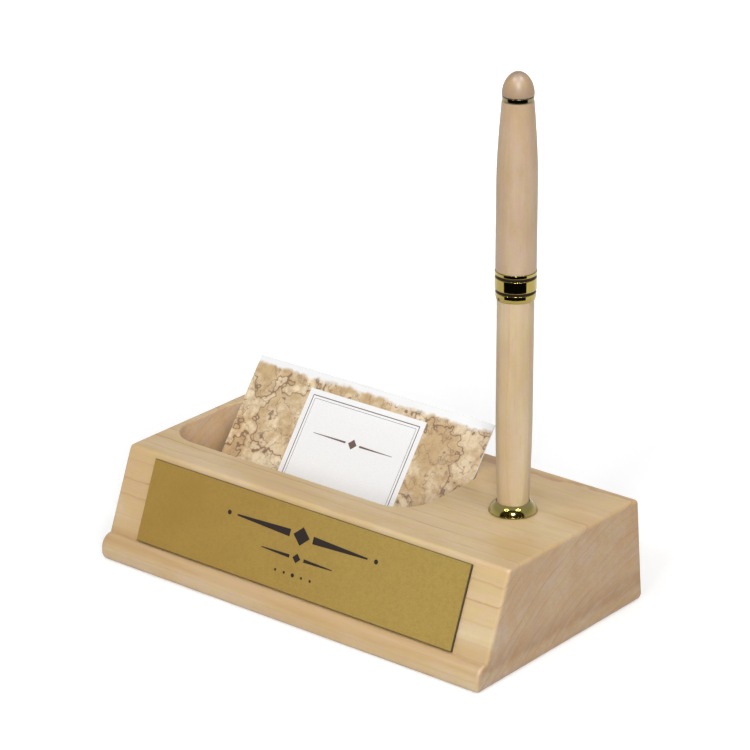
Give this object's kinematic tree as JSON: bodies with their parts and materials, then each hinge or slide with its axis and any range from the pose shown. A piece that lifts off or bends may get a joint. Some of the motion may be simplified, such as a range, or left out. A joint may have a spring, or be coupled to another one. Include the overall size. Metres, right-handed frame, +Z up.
{
  "type": "name bar with card holder",
  "caption": "Wooden desk name block: sloped front with a blank metal plate, a routed card pocket with a leaning card, and a twist pen standing in a flanged socket.",
  "frame": {"origin": "centre of the bounding box at the height of the block's underside, which rests on the desk", "axes": "+X along the block towards the pen, -Y the sloped front with the plate, +Z up along the pen"},
  "size_m": [0.14, 0.0774, 0.1597],
  "materials": {
    "maple": "satin lacquered light wood with fine grain",
    "satin_brass": "satin sheet with a dark edge",
    "polished_gold": "polished plating",
    "plain_brass": "plain drawn metal",
    "black_enamel": "gloss fill",
    "card_stock": "printed matte stock",
    "adhesive_film": "translucent film",
    "refill_steel": "plain"
  },
  "bodies": {
    "base": {"base_block": "maple", "name_plate": "satin_brass", "plate_adhesive": "adhesive_film", "pen_socket": "polished_gold"},
    "card": {"business_card": "card_stock"},
    "pen": {"lower_barrel": "maple", "nib": "polished_gold", "lower_tube": "plain_brass", "twist_body": "plain_brass"},
    "pen_top": {"upper_barrel": "maple", "centre_band": "polished_gold", "band_inlay_lower": "black_enamel", "band_inlay_upper": "black_enamel", "upper_tube": "plain_brass", "cap_plug": "plain_brass", "finial_ring": "polished_gold", "finial": "maple", "twist_driver": "plain_brass"},
    "refill": {"refill_tube": "refill_steel", "refill_carrier": "plain_brass", "refill_point": "refill_steel", "refill_ball": "refill_steel"}
  },
  "joints": [
    {"name": "card_lift", "type": "slide", "parent": "base", "child": "card", "axis": [0, 0.601, 0.7993], "range_m": [0, 0.04]},
    {"name": "pen_lift", "type": "slide", "parent": "base", "child": "pen", "axis": [0, 0, 1], "range_m": [0, 0.05]},
    {"name": "pen_twist", "type": "hinge", "parent": "pen", "child": "pen_top", "pos_m": [0.0466, 0.00735, 0.0954], "axis": [0, 0, 1], "range_deg": [0, 180]},
    {"name": "refill_slide", "type": "slide", "parent": "pen", "child": "refill", "axis": [0, 0, -1], "range_m": [0, 0.0026]}
  ],
  "couplings": [
    {"joint": "refill_slide", "follows": "pen_twist", "m_per_rad": 0.0008276}
  ]
}
